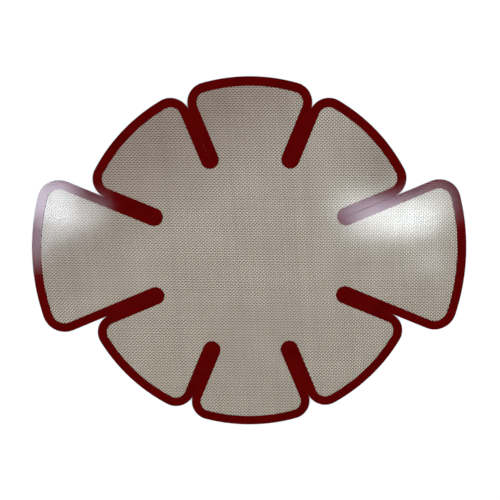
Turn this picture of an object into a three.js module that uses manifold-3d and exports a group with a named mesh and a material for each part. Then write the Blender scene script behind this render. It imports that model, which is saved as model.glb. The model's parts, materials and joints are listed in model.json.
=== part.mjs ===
// Flat liner for a bread pan: a die-cut sheet of coated glass mesh with a red silicone border.
// Eight radial slits part the rim into flaps that fold up along the pan's wall.
// Millimetres, +Z up, origin on the underside at the middle of the base.

import * as THREE from 'three';
import { mergeVertices } from 'three/addons/utils/BufferGeometryUtils.js';
import Module from 'manifold-3d';

// Plan of the sheet
const MID_FLAP_RADIUS = 137; // centre to the tip of the six shorter flaps
const END_FLAP_RADIUS = 170; // centre to the tip of the two long flaps, the lifting handles
const MID_CORNER_RADIUS = 15; // rounding where a slit meets the tip of a shorter flap
const END_CORNER_RADIUS = 17; // the same on a long flap
const SLIT_END_RADIUS = 81; // centre to the inner end of every slit
const SLIT_WIDTH = 0.6; // knife cut between two flaps
const SLIT_STOP_RADIUS = 0.6; // round stop at the inner end of the cut

// Section of the sheet, which is alike above and below its middle plane
const BORDER_THICKNESS = 1;
const MESH_THICKNESS = 0.7;
const MARGIN_THICKNESS = 0.5; // of the mesh where it is pressed flat inside the border
const BORDER_WIDTH = 7; // seen from above
const EDGE_WALL = 1.2; // border silicone past the cut edge of the mesh
const SEAT_GAP = 0.3; // between the mesh and the border, in the plane of the sheet
const FOLD_GAP = 0.3; // between the base and a flap, along their fold line

const ARC_STEPS = 5; // half the straight steps in each arc of a flap's edge
const DISC_STEPS = 10; // half the straight steps round a slit's end
const PAST = 1; // how far a cutting shape reaches past what it cuts

// Flaps anticlockwise from +X, seen from above
const FLAPS = ['right', 'back_right', 'back', 'back_left', 'left', 'front_left', 'front', 'front_right'];
const LONG_FLAPS = ['left', 'right'];

const PITCH = (2 * Math.PI) / FLAPS.length;
const HALF_PITCH = PITCH / 2;
const FOLD_DISTANCE = SLIT_END_RADIUS * Math.cos(HALF_PITCH); // a fold runs from slit end to slit end
const MARGIN_INSET = EDGE_WALL + SEAT_GAP;
const FACE_INSET = BORDER_WIDTH + SEAT_GAP;

const meshMaterial = new THREE.MeshStandardMaterial({ color: '#9e958a', roughness: 0.55, metalness: 0 });
const borderMaterial = new THREE.MeshStandardMaterial({ color: '#520606', roughness: 0.4, metalness: 0 });

const wasm = await Module();
wasm.setup();

// A flat shape of some thickness, about the sheet's middle plane, as a solid that can be joined and cut.
function plate(shape, thickness) {
  const geometry = new THREE.ExtrudeGeometry(shape, {
    depth: thickness,
    bevelEnabled: false,
    curveSegments: DISC_STEPS,
  });
  geometry.translate(0, 0, (BORDER_THICKNESS - thickness) / 2);
  geometry.deleteAttribute('normal');
  geometry.deleteAttribute('uv');
  const merged = mergeVertices(geometry);
  return new wasm.Manifold(
    new wasm.Mesh({
      numProp: 3,
      vertProperties: Float32Array.from(merged.attributes.position.array),
      triVerts: Uint32Array.from(merged.index.array),
    }),
  );
}

function namedMesh(name, solid, material) {
  const { vertProperties, triVerts } = solid.getMesh();
  const geometry = new THREE.BufferGeometry();
  geometry.setAttribute('position', new THREE.BufferAttribute(vertProperties, 3));
  geometry.setIndex(new THREE.BufferAttribute(triVerts, 1));
  geometry.computeVertexNormals();
  const mesh = new THREE.Mesh(geometry, material);
  mesh.name = name;
  return mesh;
}

// The cut edge of a flap that points along +X, moved inwards by inset: round one slit's end, along
// that slit, round the corner, along the tip and back the same way. It is open along the fold.
function flapEdge(tipRadius, cornerRadius, inset) {
  const slitOffset = SLIT_WIDTH / 2 + inset;
  const endRadius = Math.max(slitOffset, SLIT_STOP_RADIUS);
  const foldLine = FOLD_DISTANCE + FOLD_GAP / 2;
  const slitEnd = new THREE.Vector2(SLIT_END_RADIUS, 0).rotateAround(new THREE.Vector2(), -HALF_PITCH);
  const alongFold = Math.acos((foldLine - slitEnd.x) / endRadius);
  const alongSlit = Math.asin(slitOffset / endRadius) - HALF_PITCH;
  const squareToSlit = Math.PI / 2 - HALF_PITCH;

  // The corner touches both the slit's side and the tip, and keeps its centre at every inset.
  const cornerAcross = SLIT_WIDTH / 2 + cornerRadius;
  const cornerReach = tipRadius - cornerRadius;
  const cornerAngle = Math.asin(cornerAcross / cornerReach) - HALF_PITCH;
  const corner = new THREE.Vector2(cornerReach, 0).rotateAround(new THREE.Vector2(), cornerAngle);

  const edge = new THREE.Path();
  edge.absarc(slitEnd.x, slitEnd.y, endRadius, alongFold, alongSlit, true);
  edge.absarc(corner.x, corner.y, cornerRadius - inset, squareToSlit - Math.PI, cornerAngle, false);
  edge.absarc(0, 0, tipRadius - inset, cornerAngle, -cornerAngle, false);
  edge.absarc(corner.x, -corner.y, cornerRadius - inset, -cornerAngle, Math.PI - squareToSlit, false);
  edge.absarc(slitEnd.x, -slitEnd.y, endRadius, -alongSlit, -alongFold, true);
  return edge.getPoints(ARC_STEPS);
}

// Border of a flap: a channel in which the mesh's edge sits between two films of silicone.
function flapBorder(tipRadius, cornerRadius) {
  const cutEdge = flapEdge(tipRadius, cornerRadius, 0);
  const innerEdge = flapEdge(tipRadius, cornerRadius, BORDER_WIDTH);
  const band = new THREE.Shape([...cutEdge, ...innerEdge.reverse()]);

  const groove = flapEdge(tipRadius, cornerRadius, EDGE_WALL);
  const [first, last] = [groove.at(0), groove.at(-1)];
  groove.unshift(new THREE.Vector2(first.x - PAST, first.y));
  groove.push(new THREE.Vector2(last.x - PAST, last.y));

  const grooveCut = plate(new THREE.Shape(groove), MARGIN_THICKNESS);
  return plate(band, BORDER_THICKNESS).subtract(grooveCut);
}

// Mesh of a flap: full thickness in the open, with the pressed margin that sits in the border's channel.
function flapMesh(tipRadius, cornerRadius) {
  const face = new THREE.Shape(flapEdge(tipRadius, cornerRadius, FACE_INSET));
  const margin = new THREE.Shape(flapEdge(tipRadius, cornerRadius, MARGIN_INSET));
  return plate(face, MESH_THICKNESS).add(plate(margin, MARGIN_THICKNESS));
}

// The eight-sided middle of the sheet, bounded by the fold lines.
function baseOutline() {
  const cornerRadius = (FOLD_DISTANCE - FOLD_GAP / 2) / Math.cos(HALF_PITCH);
  const corners = FLAPS.map((_, i) => {
    const angle = HALF_PITCH + i * PITCH;
    return new THREE.Vector2(cornerRadius * Math.cos(angle), cornerRadius * Math.sin(angle));
  });
  return new THREE.Shape(corners);
}

function disc(centre, radius) {
  return new THREE.Shape().absarc(centre.x, centre.y, radius, 0, 2 * Math.PI, false);
}

function slitEndCentre(index) {
  const angle = HALF_PITCH + index * PITCH;
  return new THREE.Vector2(SLIT_END_RADIUS * Math.cos(angle), SLIT_END_RADIUS * Math.sin(angle));
}

// Round inner end of the border along one slit, on the base's side of the two fold lines.
function slitEnd(index) {
  const centre = slitEndCentre(index);
  const ring = (innerRadius, outerRadius) => {
    const shape = disc(centre, outerRadius);
    shape.holes.push(disc(centre, innerRadius));
    return shape;
  };
  const bandRadius = SLIT_WIDTH / 2 + BORDER_WIDTH;
  const wallRadius = SLIT_WIDTH / 2 + EDGE_WALL;
  const band = plate(ring(SLIT_STOP_RADIUS, bandRadius), BORDER_THICKNESS);
  const grooveCut = plate(ring(wallRadius, bandRadius + PAST), MARGIN_THICKNESS);
  const baseSide = plate(baseOutline(), BORDER_THICKNESS + PAST);
  return band.subtract(grooveCut).intersect(baseSide);
}

// The eight-sided plate less a round corner at each slit's end
function basePlate(inset, thickness) {
  let solid = plate(baseOutline(), thickness);
  FLAPS.forEach((_, i) => {
    const corner = disc(slitEndCentre(i), SLIT_WIDTH / 2 + inset);
    solid = solid.subtract(plate(corner, thickness + PAST));
  });
  return solid;
}

function baseMesh() {
  return basePlate(FACE_INSET, MESH_THICKNESS).add(basePlate(MARGIN_INSET, MARGIN_THICKNESS));
}

// Base of the liner, with the border's ends at its eight corners
function makeBase() {
  const base = new THREE.Group();
  base.add(namedMesh('base_mesh', baseMesh(), meshMaterial));
  FLAPS.forEach((name, i) => {
    const next = FLAPS[(i + 1) % FLAPS.length];
    base.add(namedMesh(`slit_end_${name}_to_${next}`, slitEnd(i), borderMaterial));
  });
  return base;
}

// One flap, made pointing along +X and turned to its place
function makeFlap(name, index) {
  const long = LONG_FLAPS.includes(name);
  const tipRadius = long ? END_FLAP_RADIUS : MID_FLAP_RADIUS;
  const cornerRadius = long ? END_CORNER_RADIUS : MID_CORNER_RADIUS;
  const flap = new THREE.Group();
  flap.add(namedMesh(`${name}_flap_mesh`, flapMesh(tipRadius, cornerRadius), meshMaterial));
  flap.add(namedMesh(`${name}_flap_border`, flapBorder(tipRadius, cornerRadius), borderMaterial));
  flap.rotation.z = index * PITCH;
  return flap;
}

const liner = new THREE.Group();
liner.add(makeBase());
FLAPS.forEach((name, i) => liner.add(makeFlap(name, i)));

export default liner;
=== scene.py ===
"""Flat liner for a bread pan: coated glass weave, cut into eight flaps, with a red silicone border.

Metres, +Z up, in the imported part's own frame. The sheet lies on the floor, and each flap folds up
at its hinge.
"""

import json
import math
from functools import partial

import bmesh
import bpy
import numpy as np
from mathutils import Matrix, Vector


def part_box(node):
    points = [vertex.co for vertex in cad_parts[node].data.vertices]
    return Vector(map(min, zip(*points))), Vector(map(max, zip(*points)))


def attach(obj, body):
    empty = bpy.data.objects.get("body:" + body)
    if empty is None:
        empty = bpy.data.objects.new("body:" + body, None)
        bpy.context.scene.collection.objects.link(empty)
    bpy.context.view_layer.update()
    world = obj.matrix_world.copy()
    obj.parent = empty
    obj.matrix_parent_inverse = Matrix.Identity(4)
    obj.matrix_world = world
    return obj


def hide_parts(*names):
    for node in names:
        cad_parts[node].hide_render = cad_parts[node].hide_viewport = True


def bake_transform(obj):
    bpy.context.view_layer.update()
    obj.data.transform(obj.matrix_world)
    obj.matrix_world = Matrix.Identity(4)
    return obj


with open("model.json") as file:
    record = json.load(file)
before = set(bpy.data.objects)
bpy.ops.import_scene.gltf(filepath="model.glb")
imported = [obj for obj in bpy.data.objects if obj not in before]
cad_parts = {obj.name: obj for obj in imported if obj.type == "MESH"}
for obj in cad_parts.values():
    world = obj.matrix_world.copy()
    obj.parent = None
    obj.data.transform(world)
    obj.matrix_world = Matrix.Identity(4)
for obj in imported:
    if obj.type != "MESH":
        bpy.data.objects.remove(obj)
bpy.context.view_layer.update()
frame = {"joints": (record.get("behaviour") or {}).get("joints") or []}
scene = bpy.context.scene

MM = 0.001

# Plan of the sheet, from the frame
FLAPS = ("right", "back_right", "back", "back_left", "left", "front_left", "front", "front_right")
LONG_FLAPS = ("left", "right")
PITCH = math.tau / len(FLAPS)
HALF_PITCH = PITCH / 2
FOLD_DISTANCE = Vector(frame["joints"][0]["pos_m"][:2]).length  # from the centre to every fold line
SLIT_END = FOLD_DISTANCE / math.cos(HALF_PITCH)  # from the centre to the inner end of every slit
MID_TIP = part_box("back_flap_border")[1].y
LONG_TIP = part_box("right_flap_border")[1].x
SHEET_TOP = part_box("back_flap_border")[1].z
MIDDLE = SHEET_TOP / 2

# Border of silicone
MID_CORNER = 15 * MM  # rounding where a slit meets the tip of a shorter flap
LONG_CORNER = 17 * MM  # the same on a long flap
SLIT_HALF = 0.01 * MM  # half the width of the knife cut between two flaps
BORDER_WIDTH = 7 * MM
BORDER_ROUNDING = 0.1 * MM
BORDER_ROUNDING_STEPS = 3
BORDER_FLAT_START = 0.15 * MM  # from the border's edge, where its flat sides begin
BORDER_STEP = 0.5 * MM  # its faces are no longer than this
BORDER_SMOOTHING = math.radians(50)
RELIEF = 0.008 * MM  # height of the weave that shows through the border
RELIEF_FADE = 0.6 * MM  # over which the relief dies out at the border's edges
BORDER_THICKNESS = SHEET_TOP - 2 * RELIEF

# Weave of coated glass yarns: the warp runs from front to back, and the weft from left to right
WARP_PITCH = 1.38 * MM
WARP_WIDTH = 0.84 * MM
WARP_THICKNESS = 0.22 * MM
WARP_CRIMP = 0.2 * MM  # how far the yarn rises and sinks from the middle of the sheet
WARP_LEAN = math.radians(3.9)  # off a right angle to the weft
WEFT_PITCH = 1.30 * MM
WEFT_WIDTH = 0.98 * MM
WEFT_THICKNESS = 0.2 * MM
WEFT_CRIMP = 0.08 * MM
YARN_SIDES = 6
YARN_FLATNESS = 1.6  # how much wider the flat of a yarn is than an even six-sided section's
YARN_SMOOTHING = math.radians(40)  # under the angle between a yarn's flat and its flanks
YARN_WANDER = 0.06 * MM  # breadth of a yarn's stray about its even place
YARN_TUCK = 1.8 * MM  # how far the yarns run on inside the border
YARN_SEED = 3
YARN_DRAWS = 512  # more than the yarns of either layer
COAT_EVENING = 0.8  # share of a yarn's slope that its coat evens out
MERGE = 0.01 * MM  # points nearer than this are one
ACROSS = Vector((WARP_PITCH, 0, 0))  # from one warp yarn to the next
ALONG = Vector((-math.tan(WARP_LEAN) * WEFT_PITCH, WEFT_PITCH, 0))  # from one weft yarn to the next
WEAVE_HALF = WARP_CRIMP + WARP_THICKNESS / 2
WHOLE_NORMAL = "whole_normal"  # attribute that holds the uncut cloth's normals
MAP_MARGIN = 0.01  # round each quarter of the flat map

# Folds
SEAM_DISTANCE = FOLD_DISTANCE - 12 * MM  # where the base's weave hands over to a flap's
SEAM_CORNER = SEAM_DISTANCE / math.cos(HALF_PITCH)

# All finishes, with linear colours and with noise scales per metre
WHITE = (1.0, 1.0, 1.0)
SOFT_DETAIL = 2
FINE_DETAIL = 3
CLOUD_SPAN = (0.35, 0.65)  # of a noise, from one colour to the other

# Finish of the weave, with painted light and shade in its colours
# Painted light and shade: each yarn is painted dark where it sinks and pale on its crown, and the weft,
# lying deeper, darker than the warp
WEFT_SHADED_LOW = (0.03, 0.026, 0.021)
WEFT_SHADED_CROWN = (0.48, 0.40, 0.32)
WEFT_SHADE_RISE = (0.34, 0.62)  # share of the weave's half thickness, from the painted shade low down to the painted light on the crown
WARP_SHADED_LOW = (0.06, 0.052, 0.043)
WARP_LIT_CROWN = (0.83, 0.70, 0.56)
WARP_SHADE_RISE = (0.3, 0.9)
DULLEST_YARN = (0.88, 0.88, 0.88)
WEAVE_CLOUD = (0.92, 0.90, 0.89)
WEAVE_CLOUD_SCALE = 28
# Painted shade: the weave is painted darker towards the back left, where the light falls off
FALLOFF_SHADE = (0.70, 0.62, 0.61)
FALLOFF_WAY = (-0.60, 0.80, 0)  # direction in the plan in which the painted shade darkens the weave
FALLOFF_SPAN = (0.050, 0.110)  # distance along it, from clear to darkest
# Painted shade: a dark patch on the back right flap, as if the flap turned away from the light there
PATCH_SHADE = (0.74, 0.72, 0.71)
PATCH_SHADE_PLACE = (0.100, 0.074, MIDDLE)
PATCH_SHADE_SPAN = (0.0, 0.036)  # distance from its place, from darkest to clear
FIBRE_SCALE = 9000
FIBRE_HEIGHT = 0.004 * MM
FIBRE_BUMP = 0.03
WEAVE_ROUGHNESS = (0.10, 0.15)
WEAVE_SPECULAR = 0.165

# Finish of the border
RED_DEEP = (0.071, 0.0005, 0.0005)
RED_PALE = (0.087, 0.0008, 0.0008)
RED_CLOUD_SCALE = 60
PORE_SCALE = 2500
RIB_HEIGHT = 0.003 * MM  # of the yarns that show through
RIB_BUMP = 1.0
BORDER_ROUGHNESS = (0.03, 0.05)
BORDER_SPECULAR = 0.097
BORDER_GLOSS = (0.95, 0.87, 1.0, 1.0)

# Floor
FLOOR_RADIUS = 0.45  # a round floor, which ends before the light on it falls off
FLOOR_SIDES = 128
FLOOR_GAP = 0.05 * MM  # below the sheet, so that the two never share a plane
FLOOR_DEEP = (0.94, 0.94, 0.94)
FLOOR_PALE = (0.96, 0.96, 0.96)
FLOOR_GRAIN_SCALE = 6
FLOOR_ROUGHNESS = 0.9

# Light and camera
DAYLIGHT = (0.87, 0.95, 1.0)
CEILING = (0.02, 0.02, 0.02)
CEILING_RISE = (0.5, 0.68)  # sine of the angle above the horizon, from bright wall to dark ceiling
LEFT_WINDOW_TURN = math.radians(26)
CAMERA_PLACE = Vector((-0.0043, 0.0376, 0.3552))
CAMERA_TURN = (-5.25, -0.67, -0.19)  # degrees about X, Y and Z
CAMERA_LENS = 32.74
CAMERA_SENSOR = 36
CAMERA_CLIP = 0.01


def flap_angle(flap):
    return FLAPS.index(flap) * PITCH


def flap_tip(flap):
    return LONG_TIP if flap in LONG_FLAPS else MID_TIP


def flap_corner(flap):
    return LONG_CORNER if flap in LONG_FLAPS else MID_CORNER


def polar(distance, angle, height=0.0):
    return Vector((distance * math.cos(angle), distance * math.sin(angle), height))


# Working by hand


def take(piece):
    """Makes a piece the only one that operators act on."""
    bpy.ops.object.select_all(action="DESELECT")
    piece.select_set(True)
    bpy.context.view_layer.objects.active = piece
    return piece


def edit(kind):
    bpy.ops.object.mode_set(mode="EDIT")
    bpy.ops.mesh.select_mode(type=kind)


def put_down():
    bpy.ops.object.mode_set(mode="OBJECT")


def pick(piece, kind, wanted):
    """In edit mode, selects the vertices or edges whose middle passes a test."""
    bpy.ops.mesh.select_mode(type=kind)
    bpy.ops.mesh.select_all(action="DESELECT")
    shape = bmesh.from_edit_mesh(piece.data)
    if kind == "VERT":
        for vert in shape.verts:
            vert.select_set(wanted(vert.co))
    else:
        for edge in shape.edges:
            edge.select_set(wanted((edge.verts[0].co + edge.verts[1].co) / 2))
    shape.select_flush_mode()
    bmesh.update_edit_mesh(piece.data)


def close_ends(sides):
    """In edit mode, fills open ends of up to this many sides, or any for 0, and turns faces outwards."""
    bpy.ops.mesh.select_mode(type="EDGE")
    bpy.ops.mesh.select_non_manifold(extend=False)
    bpy.ops.mesh.fill_holes(sides=sides)
    bpy.ops.mesh.select_all(action="SELECT")
    bpy.ops.mesh.normals_make_consistent(inside=False)


def copy_of(piece, name):
    copy = bpy.data.objects.new(name, piece.data.copy())
    copy.data.name = name
    scene.collection.objects.link(copy)
    return copy


def repeat_along(piece, count, step):
    """Repeats a piece in a row and joins what meets end to end."""
    row = piece.modifiers.new("row", "ARRAY")
    row.count = count
    row.use_relative_offset = False
    row.use_constant_offset = True
    row.constant_offset_displace = step
    row.use_merge_vertices = True
    row.merge_threshold = MERGE
    bpy.ops.object.modifier_apply(modifier=row.name)


# What a mesh holds


def values_of(parts, name, width=1, kind=float):
    """What the parts of a mesh hold under a name: one value each, or a row of values each."""
    values = np.empty(len(parts) * width, dtype=kind)
    parts.foreach_get(name, values)
    return values if width == 1 else values.reshape(-1, width)


def points_of(mesh):
    return values_of(mesh.vertices, "co", 3)


def corner_vertices(mesh):
    return values_of(mesh.loops, "vertex_index", kind=int)


def on_warp(mesh):
    """Which vertices are the warp's."""
    return values_of(mesh.attributes["warp"].data, "value") > 0.5


def note(mesh, name, values, kind="FLOAT", domain="POINT"):
    """Keeps a value or a vector for each vertex or corner, as a named attribute."""
    attribute = mesh.attributes.new(name, kind, domain)
    attribute.data.foreach_set("vector" if kind == "FLOAT_VECTOR" else "value", np.ravel(values))


def write_points(mesh, points):
    """Moves the vertices, and notes their rest places for the materials."""
    mesh.vertices.foreach_set("co", points.ravel())
    mesh.update()
    note(mesh, "plan", points, "FLOAT_VECTOR")


# Plan


def in_flap_frame(flap, x, y):
    """Turns plan points so that the flap points along +X."""
    angle = flap_angle(flap)
    return x * math.cos(angle) + y * math.sin(angle), y * math.cos(angle) - x * math.sin(angle)


def side_of_slit(x, y):
    """How far points of a flap that points along +X lie past the nearer slit's end, and to its side."""
    past = x * math.cos(HALF_PITCH) + np.abs(y) * math.sin(HALF_PITCH) - SLIT_END
    beside = x * math.sin(HALF_PITCH) - np.abs(y) * math.cos(HALF_PITCH)
    return past, beside


def depth_in_flap(flap, x, y):
    """How far points lie inside a flap's cut edge."""
    past, beside = side_of_slit(x, y)
    from_slit = np.where(past > 0, beside, np.hypot(past, beside))
    from_tip = flap_tip(flap) - np.hypot(x, y)
    corner = flap_corner(flap)
    rounded = corner - np.hypot(corner - from_slit, corner - from_tip)
    in_corner = (from_slit < corner) & (from_tip < corner) & (past > 0)
    return np.where(in_corner, rounded, np.minimum(from_slit, from_tip))


def base_covers(x, y):
    reach = [in_flap_frame(flap, x, y)[0] for flap in FLAPS]
    return np.max(reach, axis=0) <= SEAM_DISTANCE


def flap_covers(flap, x, y):
    x, y = in_flap_frame(flap, x, y)
    inside = depth_in_flap(flap, x, y) >= BORDER_WIDTH - YARN_TUCK
    return inside & (x > SEAM_DISTANCE) & (side_of_slit(x, y)[1] >= 0)


def lattice(x, y):
    """Plan points as counts of warp and weft yarns."""
    return (x - y * ALONG.x / ALONG.y) / ACROSS.x, y / ALONG.y


def plan(warp, weft):
    """Counts of warp and weft yarns as plan points."""
    return warp * ACROSS.x + weft * ALONG.x, weft * ALONG.y


def flap_box(flap):
    """The plan box of a flap, out to its tip, from the seam in the base."""
    angle = flap_angle(flap)
    turns = (angle - HALF_PITCH, angle, angle + HALF_PITCH)
    corners = [polar(reach, turn) for reach in (SEAM_CORNER, flap_tip(flap)) for turn in turns]
    return [(min(c[k] for c in corners), max(c[k] for c in corners)) for k in (0, 1)]


# Weave


def yarn(length, width, thickness, crimp, turn, lean, warp, crown):
    """Two crossings of one yarn, as an open six-sided tube that rises to a crown halfway."""
    # A hexagon of radius 1 is 2 wide and sqrt(3) thick
    bpy.ops.mesh.primitive_cylinder_add(
        vertices=YARN_SIDES,
        radius=1,
        depth=1,
        end_fill_type="NOTHING",
        rotation=turn,
        scale=(thickness / math.sqrt(3), width / 2, length),
    )
    tube = bpy.context.object
    way = tube.matrix_world.to_3x3().col[2].normalized()
    bpy.ops.object.transform_apply(rotation=True, scale=True)
    edit("EDGE")
    # The flats are drawn wider
    pick(tube, "VERT", lambda place: abs(place.z) > thickness / 4)
    side = way.cross(Vector((0, 0, 1)))
    bpy.ops.transform.resize(value=[1 + (YARN_FLATNESS - 1) * abs(s) for s in side])
    # The middle is raised
    pick(tube, "EDGE", lambda middle: abs(middle.dot(way)) < length / 4)
    bpy.ops.mesh.subdivide(number_cuts=1)
    pick(tube, "VERT", lambda place: abs(place.dot(way)) < length / 4)
    bpy.ops.transform.translate(value=(0, 0, 2 * crimp))
    put_down()
    tube.rotation_euler.z = lean
    tube.location = crown + Vector((0, 0, MIDDLE - crimp))
    bpy.ops.object.transform_apply(location=True, rotation=True)
    note(tube.data, "warp", np.full(len(tube.data.vertices), float(warp)))
    return tube


def weave_repeat():
    """Two warp and two weft yarns, crossing in plain weave."""
    quarter = math.pi / 2
    warp = partial(
        yarn,
        length=2 * ALONG.length,
        width=WARP_WIDTH,
        thickness=WARP_THICKNESS,
        crimp=WARP_CRIMP,
        turn=(quarter, quarter, 0),
        lean=WARP_LEAN,
        warp=True,
    )
    weft = partial(
        yarn,
        length=2 * ACROSS.length,
        width=WEFT_WIDTH,
        thickness=WEFT_THICKNESS,
        crimp=WEFT_CRIMP,
        turn=(0, quarter, 0),
        lean=0,
        warp=False,
    )
    yarns = [warp(crown=Vector()), warp(crown=ACROSS + ALONG), weft(crown=ACROSS), weft(crown=ALONG)]
    repeat = take(yarns[0])
    for tube in yarns:
        tube.select_set(True)
    bpy.ops.object.join()
    repeat.name = "weave_repeat"
    return repeat


def nearest_crown(along, beside, parity):
    """The nearest crossing where a yarn lies on top, which is one further on the yarn beside it."""
    offset = (beside + parity) % 2
    return 2 * np.round((along - offset) / 2) + offset


def yarn_humps(mesh):
    """The plan point of the crown of the hump of yarn that each face belongs to."""
    warp_count, weft_count = lattice(*values_of(mesh.polygons, "center", 3)[:, :2].T)
    first_corner = values_of(mesh.polygons, "loop_start", kind=int)
    warp_face = on_warp(mesh)[corner_vertices(mesh)[first_corner]]
    warp_yarn, weft_yarn = np.round(warp_count), np.round(weft_count)
    return plan(
        np.where(warp_face, warp_yarn, nearest_crown(warp_count, weft_yarn, 1)),
        np.where(warp_face, nearest_crown(weft_count, warp_yarn, 0), weft_yarn),
    )


def cut_back(piece, covered):
    """Deletes the humps of yarn that aren't covered, and closes the yarns' ends, under other yarns."""
    take(piece)
    # In face mode, edit mode takes over the selection of faces
    bpy.context.tool_settings.mesh_select_mode = (False, False, True)
    mesh = piece.data
    for parts in (mesh.vertices, mesh.edges):
        parts.foreach_set("select", np.zeros(len(parts), dtype=bool))
    mesh.polygons.foreach_set("select", ~covered)
    edit("FACE")
    bpy.ops.mesh.delete(type="FACE")
    close_ends(YARN_SIDES)
    put_down()


def tone_yarns(mesh):
    """Gives each yarn a tone and a slight wander of its own, and notes each point's height for the
    weave's painted light and shade.
    """
    points = points_of(mesh)
    warp = on_warp(mesh)
    warp_count, weft_count = lattice(points[:, 0], points[:, 1])
    count = np.round(np.where(warp, warp_count, weft_count)).astype(int)
    draws = np.random.default_rng(YARN_SEED).random((2, 2, YARN_DRAWS))
    tone, wander = draws[:, warp.astype(int), count]
    # The height drives the painted light on the crowns and the painted shade where yarns sink
    note(mesh, "crown", np.abs(points[:, 2] - MIDDLE) / WEAVE_HALF)
    note(mesh, "tone", tone)
    stray = (wander - 0.5) * YARN_WANDER
    points[:, 0] += np.where(warp, stray, 0)
    points[:, 1] += np.where(warp, 0, stray)
    write_points(mesh, points)


def keep_normals(mesh):
    """Notes the normals of the whole cloth, before it is cut back."""
    note(mesh, WHOLE_NORMAL, values_of(mesh.corner_normals, "vector", 3), "FLOAT_VECTOR", "CORNER")


def use_kept_normals(mesh):
    """Shades the yarns as on the whole cloth, so that no seam shows, with their slopes evened out."""
    kept = mesh.attributes[WHOLE_NORMAL]
    normals = values_of(kept.data, "vector", 3)
    mesh.attributes.remove(kept)
    normals[:, :2] *= 1 - COAT_EVENING * normals[:, 2:] ** 2
    mesh.normals_split_custom_set(normals / np.linalg.norm(normals, axis=1, keepdims=True))


def map_by_layer(mesh):
    """A flat map for baking, with a quarter each for the upper and under side of warp and weft."""
    corners = corner_vertices(mesh)
    sides = values_of(mesh.polygons, "loop_total", kind=int)
    upper = np.repeat(values_of(mesh.polygons, "normal", 3)[:, 2] > 0, sides)
    quarter = np.stack((on_warp(mesh)[corners], upper), axis=1)
    points = points_of(mesh)[:, :2]
    across_panel = (points - points.min(axis=0)) / np.ptp(points, axis=0)
    places = (quarter + MAP_MARGIN + (1 - 2 * MAP_MARGIN) * across_panel[corners]) / 2
    mesh.uv_layers.new(name="OFBake").data.foreach_set("uv", places.ravel())


def weave_panel(name, repeat, box, covers):
    """The weave of one panel, whose yarns run on into the next panel's."""
    # Whole repeats of two yarns each way, with one to spare all round
    corners = [lattice(x, y) for x in box[0] for y in box[1]]
    low = np.floor(np.min(corners, axis=0) / 2).astype(int) - 1
    high = np.ceil(np.max(corners, axis=0) / 2).astype(int) + 1
    piece = take(copy_of(repeat, name))
    repeat_along(piece, high[0] - low[0], 2 * ACROSS)
    repeat_along(piece, high[1] - low[1], 2 * ALONG)
    piece.location = 2 * int(low[0]) * ACROSS + 2 * int(low[1]) * ALONG
    bpy.ops.object.transform_apply(location=True)
    bpy.ops.object.shade_smooth_by_angle(angle=YARN_SMOOTHING)
    mesh = piece.data
    keep_normals(mesh)
    cut_back(piece, covers(*yarn_humps(mesh)))
    tone_yarns(mesh)
    use_kept_normals(mesh)
    map_by_layer(mesh)
    return piece


# Border


def band_section(start, angle):
    """The border's section, as a closed line in an upright plane that runs from a point at an angle."""
    bpy.ops.mesh.primitive_plane_add(size=1, rotation=(math.pi / 2, 0, 0))
    band = bpy.context.object
    band.scale = (BORDER_WIDTH, BORDER_THICKNESS, 1)
    bpy.ops.object.transform_apply(rotation=True, scale=True)
    edit("VERT")
    bpy.ops.mesh.select_all(action="SELECT")
    # A square bevel keeps each corner, and adds a point on both sides of it
    bpy.ops.mesh.bevel(affect="VERTICES", offset=BORDER_FLAT_START, segments=2, profile=1)
    at_corner = (BORDER_WIDTH + BORDER_THICKNESS) / 2 - MERGE
    pick(band, "VERT", lambda place: abs(place.x) + abs(place.z) > at_corner)
    bpy.ops.mesh.bevel(affect="VERTICES", offset=BORDER_ROUNDING, segments=BORDER_ROUNDING_STEPS)
    bpy.ops.mesh.select_all(action="SELECT")
    bpy.ops.mesh.delete(type="ONLY_FACE")
    pick(band, "EDGE", lambda middle: abs(middle.x) < BORDER_ROUNDING)
    bpy.ops.mesh.subdivide(number_cuts=round(BORDER_WIDTH / BORDER_STEP))
    put_down()
    band.rotation_euler.z = angle
    band.location = start + polar(SLIT_HALF + BORDER_WIDTH / 2, angle, MIDDLE)
    bpy.ops.object.transform_apply(location=True, rotation=True)
    return band


def sweep_round(centre, radius, angle):
    """Sweeps the selected section round an upright axis, anticlockwise for a positive angle."""
    steps = math.ceil(abs(angle) * radius / BORDER_STEP)
    # With no window, spin turns clockwise for a positive angle
    bpy.ops.mesh.spin(steps=steps, angle=-angle, center=centre, axis=(0, 0, 1))


def sweep_straight(way):
    steps = math.ceil(way.length / BORDER_STEP)
    bpy.ops.mesh.extrude_repeat(steps=steps, offset=way / steps)


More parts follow.
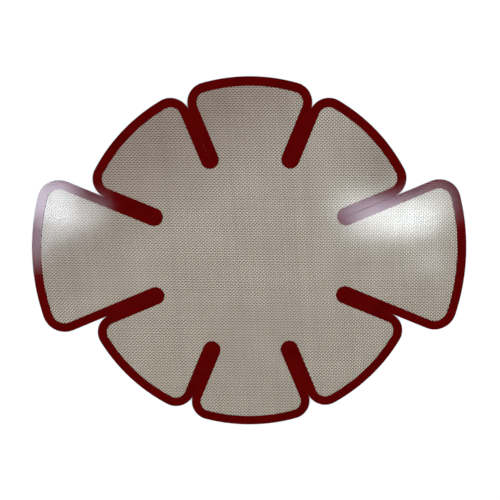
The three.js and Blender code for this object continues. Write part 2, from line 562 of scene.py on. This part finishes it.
def border_band(name, tip, corner):
    """The border of a flap that points along +X: half of it, from a slit's end to the tip, mirrored."""
    across = SLIT_HALF + corner
    corner_reach = tip - corner
    corner_past = math.sqrt(corner_reach**2 - across**2)
    corner_angle = HALF_PITCH - math.asin(across / corner_reach)
    corner_turn = math.pi / 2 + HALF_PITCH - corner_angle
    slit_end = polar(SLIT_END, -HALF_PITCH)

    band = band_section(slit_end, math.pi - HALF_PITCH)
    edit("EDGE")
    bpy.ops.mesh.select_all(action="SELECT")
    sweep_round(slit_end, SLIT_HALF + BORDER_WIDTH, -math.pi / 2)
    sweep_straight(polar(corner_past - SLIT_END, -HALF_PITCH))
    sweep_round(polar(corner_reach, -corner_angle), corner, corner_turn)
    sweep_round(Vector(), tip, corner_angle)
    bpy.ops.mesh.select_all(action="SELECT")
    bpy.ops.mesh.remove_doubles(threshold=MERGE)
    put_down()
    halves = band.modifiers.new("halves", "MIRROR")
    halves.use_axis = (False, True, False)
    halves.merge_threshold = MERGE
    bpy.ops.object.modifier_apply(modifier=halves.name)
    edit("EDGE")
    close_ends(0)
    put_down()
    bpy.ops.object.shade_smooth_by_angle(angle=BORDER_SMOOTHING)
    band.name = name
    return band


def ease(x):
    x = np.clip(x, 0, 1)
    return x * x * (3 - 2 * x)


def emboss(mesh, flap):
    """Lets the weave inside the border show through as a low relief, which dies out at its edges."""
    points = points_of(mesh)
    x, y = points[:, 0], points[:, 1]
    depth = depth_in_flap(flap, *in_flap_frame(flap, x, y))
    fade = ease(depth / RELIEF_FADE) * ease((BORDER_WIDTH - depth) / RELIEF_FADE)
    warp_count, weft_count = lattice(x, y)
    points[:, 2] += RELIEF * fade * np.cos(math.pi * warp_count) * np.cos(math.pi * weft_count)
    write_points(mesh, points)


def flap_border(flap, pattern):
    band = take(copy_of(pattern, f"{flap}_border"))
    band.data.transform(Matrix.Rotation(flap_angle(flap), 4, "Z"))
    emboss(band.data, flap)
    return band


# Nodes of the materials


def new_material(name):
    material = bpy.data.materials.new(name)
    material.use_nodes = True
    return material, material.node_tree, material.node_tree.nodes["Principled BSDF"]


def read_attribute(tree, name, output="Fac"):
    node = tree.nodes.new("ShaderNodeAttribute")
    node.attribute_name = name
    return node.outputs[output]


def noise(tree, place, scale, detail=SOFT_DETAIL):
    node = tree.nodes.new("ShaderNodeTexNoise")
    node.inputs["Scale"].default_value = scale
    node.inputs["Detail"].default_value = detail
    tree.links.new(place, node.inputs["Vector"])
    return node.outputs["Fac"]


def ramp(tree, value, low, high, span=(0.0, 1.0)):
    """A colour that goes from low to high as a value crosses a span."""
    node = tree.nodes.new("ShaderNodeValToRGB")
    for stop, position, colour in zip(node.color_ramp.elements, span, (low, high)):
        stop.position = position
        stop.color = (*colour, 1)
    tree.links.new(value, node.inputs["Fac"])
    return node.outputs["Color"]


def mix(tree, first, second):
    node = tree.nodes.new("ShaderNodeMix")
    node.data_type = "RGBA"
    tree.links.new(first, node.inputs["A"])
    tree.links.new(second, node.inputs["B"])
    return node


def blend(tree, share, first, second):
    node = mix(tree, first, second)
    tree.links.new(share, node.inputs["Factor"])
    return node.outputs["Result"]


def multiply(tree, first, second):
    node = mix(tree, first, second)
    node.blend_type = "MULTIPLY"
    node.inputs["Factor"].default_value = 1.0
    return node.outputs["Result"]


def spread(tree, value, low, high):
    node = tree.nodes.new("ShaderNodeMapRange")
    node.inputs["To Min"].default_value = low
    node.inputs["To Max"].default_value = high
    tree.links.new(value, node.inputs["Value"])
    return node.outputs["Result"]


def bump(tree, height, strength, distance, shader):
    node = tree.nodes.new("ShaderNodeBump")
    node.inputs["Strength"].default_value = strength
    node.inputs["Distance"].default_value = distance
    tree.links.new(height, node.inputs["Height"])
    tree.links.new(node.outputs["Normal"], shader.inputs["Normal"])


def measure(tree, operation, place, vector):
    """How far a place lies along a way, as a DOT_PRODUCT, or from a point, as a DISTANCE."""
    node = tree.nodes.new("ShaderNodeVectorMath")
    node.operation = operation
    tree.links.new(place, node.inputs[0])
    node.inputs[1].default_value = vector
    return node.outputs["Value"]


def calculate(tree, operation, *values):
    node = tree.nodes.new("ShaderNodeMath")
    node.operation = operation
    for value, socket in zip(values, node.inputs):
        tree.links.new(value, socket)
    return node.outputs["Value"]


def yarn_ribs(tree, place):
    """A height with one rib for each warp and each weft yarn."""
    across_warp = Vector((1, -ALONG.x / ALONG.y, 0)) * math.tau / WARP_PITCH
    across_weft = Vector((0, 1, 0)) * math.tau / WEFT_PITCH
    counts = [measure(tree, "DOT_PRODUCT", place, way) for way in (across_warp, across_weft)]
    return calculate(tree, "ADD", *[calculate(tree, "COSINE", count) for count in counts])


# Materials


def coated_glass():
    """Taupe silicone over glass yarns, with painted light on the warp's crowns, and painted shade where
    yarns sink, on the weft, towards the back left and in one patch.
    """
    material, tree, shader = new_material("coated_glass_weave")
    place = read_attribute(tree, "plan", "Vector")
    crown = read_attribute(tree, "crown")
    # Painted light and shade: shaded where a yarn sinks, lit on its crown, and the weft shaded darker
    # than the warp
    weft = ramp(tree, crown, WEFT_SHADED_LOW, WEFT_SHADED_CROWN, WEFT_SHADE_RISE)
    warp = ramp(tree, crown, WARP_SHADED_LOW, WARP_LIT_CROWN, WARP_SHADE_RISE)
    colour = blend(tree, read_attribute(tree, "warp"), weft, warp)
    tone = read_attribute(tree, "tone")
    clouds = noise(tree, place, WEAVE_CLOUD_SCALE)
    # Painted shade, darker towards the back left, where the light falls off
    falloff = measure(tree, "DOT_PRODUCT", place, FALLOFF_WAY)
    # Painted shade in a patch on the back right flap
    shade_patch = measure(tree, "DISTANCE", place, PATCH_SHADE_PLACE)
    tints = (
        ramp(tree, tone, DULLEST_YARN, WHITE),
        ramp(tree, clouds, WEAVE_CLOUD, WHITE, CLOUD_SPAN),
        ramp(tree, falloff, WHITE, FALLOFF_SHADE, FALLOFF_SPAN),
        ramp(tree, shade_patch, PATCH_SHADE, WHITE, PATCH_SHADE_SPAN),
    )
    for tint in tints:
        colour = multiply(tree, colour, tint)
    tree.links.new(colour, shader.inputs["Base Color"])
    fibres = noise(tree, place, FIBRE_SCALE, FINE_DETAIL)
    tree.links.new(spread(tree, fibres, *WEAVE_ROUGHNESS), shader.inputs["Roughness"])
    shader.inputs["Specular IOR Level"].default_value = WEAVE_SPECULAR
    bump(tree, fibres, FIBRE_BUMP, FIBRE_HEIGHT, shader)
    return material


def red_silicone():
    """Dark red cured silicone: faintly cloudy, with pores in its gloss and the ribs of yarns inside."""
    material, tree, shader = new_material("red_silicone")
    place = read_attribute(tree, "plan", "Vector")
    clouds = noise(tree, place, RED_CLOUD_SCALE)
    colour = ramp(tree, clouds, RED_DEEP, RED_PALE, CLOUD_SPAN)
    tree.links.new(colour, shader.inputs["Base Color"])
    pores = noise(tree, place, PORE_SCALE, FINE_DETAIL)
    tree.links.new(spread(tree, pores, *BORDER_ROUGHNESS), shader.inputs["Roughness"])
    shader.inputs["Specular IOR Level"].default_value = BORDER_SPECULAR
    shader.inputs["Specular Tint"].default_value = BORDER_GLOSS
    bump(tree, yarn_ribs(tree, place), RIB_BUMP, RIB_HEIGHT, shader)
    return material


def pale_floor():
    """Matt, and all but white."""
    material, tree, shader = new_material("pale_floor")
    place = tree.nodes.new("ShaderNodeTexCoord").outputs["Object"]
    grain = noise(tree, place, FLOOR_GRAIN_SCALE)
    tree.links.new(ramp(tree, grain, FLOOR_DEEP, FLOOR_PALE), shader.inputs["Base Color"])
    shader.inputs["Roughness"].default_value = FLOOR_ROUGHNESS
    shader.inputs["Specular IOR Level"].default_value = 0.0
    return material


# Finish and transform of each piece


def set_finish(piece, material):
    piece.data.materials.clear()
    piece.data.materials.append(material)


def fold(piece):
    """Bakes a piece's transform into its mesh."""
    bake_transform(piece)


# Room


def soft_room():
    """Soft light from all round, under a dark ceiling, so that the flat sheet mirrors nothing pale."""
    world = bpy.data.worlds.new("soft_room")
    world.use_nodes = True
    tree = world.node_tree
    way = tree.nodes.new("ShaderNodeTexCoord")
    parts = tree.nodes.new("ShaderNodeSeparateXYZ")
    tree.links.new(way.outputs["Generated"], parts.inputs["Vector"])
    light = ramp(tree, parts.outputs["Z"], WHITE, CEILING, CEILING_RISE)
    tree.links.new(light, tree.nodes["Background"].inputs["Color"])
    scene.world = world


def window(name, height, x_span, y_span, radiance, turn=0.0):
    """A bright pane overhead, which the flat sheet mirrors between these lines of the turned plan."""
    # Mirrored, a pane appears as far below the sheet as it hangs above
    grow = (height + CAMERA_PLACE.z) / CAMERA_PLACE.z
    mirrored = Vector((sum(x_span) / 2, sum(y_span) / 2))
    mirrored.rotate(Matrix.Rotation(turn, 2))
    lamp = bpy.data.lights.new(name, "AREA")
    lamp.shape = "RECTANGLE"
    lamp.size = grow * (x_span[1] - x_span[0])
    lamp.size_y = grow * (y_span[1] - y_span[0])
    lamp.energy = radiance * math.pi * lamp.size * lamp.size_y
    lamp.color = DAYLIGHT
    pane = bpy.data.objects.new(name, lamp)
    overhead = CAMERA_PLACE.xy + grow * (mirrored - CAMERA_PLACE.xy)
    pane.location = (*overhead, height)
    pane.rotation_euler.z = turn
    scene.collection.objects.link(pane)


# The liner
glass = coated_glass()
silicone = red_silicone()
repeat = weave_repeat()

base_span = (-SEAM_CORNER, SEAM_CORNER)
base = weave_panel("base_weave", repeat, (base_span, base_span), base_covers)
set_finish(base, glass)
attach(base, "base")
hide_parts("base_mesh")

mid_border = border_band("mid_border_pattern", MID_TIP, MID_CORNER)
long_border = border_band("long_border_pattern", LONG_TIP, LONG_CORNER)
for index, flap in enumerate(FLAPS):
    panel = weave_panel(f"{flap}_weave", repeat, flap_box(flap), partial(flap_covers, flap))
    set_finish(panel, glass)
    fold(panel)
    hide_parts(f"{flap}_flap_mesh")

    following = FLAPS[(index + 1) % len(FLAPS)]
    band = flap_border(flap, long_border if flap in LONG_FLAPS else mid_border)
    set_finish(band, silicone)
    fold(band)
    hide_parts(f"{flap}_flap_border", f"slit_end_{flap}_to_{following}")

for pattern in (repeat, mid_border, long_border):
    bpy.data.meshes.remove(pattern.data)

# Floor
bpy.ops.object.select_all(action="DESELECT")
bpy.ops.mesh.primitive_circle_add(
    vertices=FLOOR_SIDES, radius=FLOOR_RADIUS, fill_type="NGON", location=(0, 0, -FLOOR_GAP)
)
floor = bpy.context.object
floor.name = "floor"
floor.data.materials.append(pale_floor())

# Light, where panes that overlap hang at different heights
scene.view_settings.view_transform = "Standard"
soft_room()
window(
    "left_window",
    height=1.0,
    x_span=(-0.152, -0.086),
    y_span=(0.076, 0.094),
    radiance=34,
    turn=LEFT_WINDOW_TURN,
)
window("left_window_core", height=1.1, x_span=(-0.176, -0.136), y_span=(0.028, 0.062), radiance=78)
window("left_lamp", height=1.05, x_span=(-0.172, -0.163), y_span=(-0.008, 0.008), radiance=36)
window("right_window", height=1.0, x_span=(0.073, 0.145), y_span=(0.012, 0.040), radiance=22)
window("right_window_core", height=1.1, x_span=(0.086, 0.150), y_span=(0.018, 0.040), radiance=30)
window("right_window_side", height=1.05, x_span=(0.063, 0.102), y_span=(0.028, 0.050), radiance=25)
window(
    "right_window_corner",
    height=1.15,
    x_span=(0.106, 0.161),
    y_span=(-0.030, -0.004),
    radiance=32,
    turn=HALF_PITCH,
)
window("right_lamp", height=1.0, x_span=(0.135, 0.150), y_span=(-0.012, 0.002), radiance=31)

# Camera
lens = bpy.data.cameras.new("photo_camera")
lens.sensor_width = CAMERA_SENSOR
lens.lens = CAMERA_LENS
lens.clip_start = CAMERA_CLIP
camera = bpy.data.objects.new("photo_camera", lens)
camera.location = CAMERA_PLACE
camera.rotation_euler = [math.radians(turn) for turn in CAMERA_TURN]
scene.collection.objects.link(camera)
scene.camera = camera
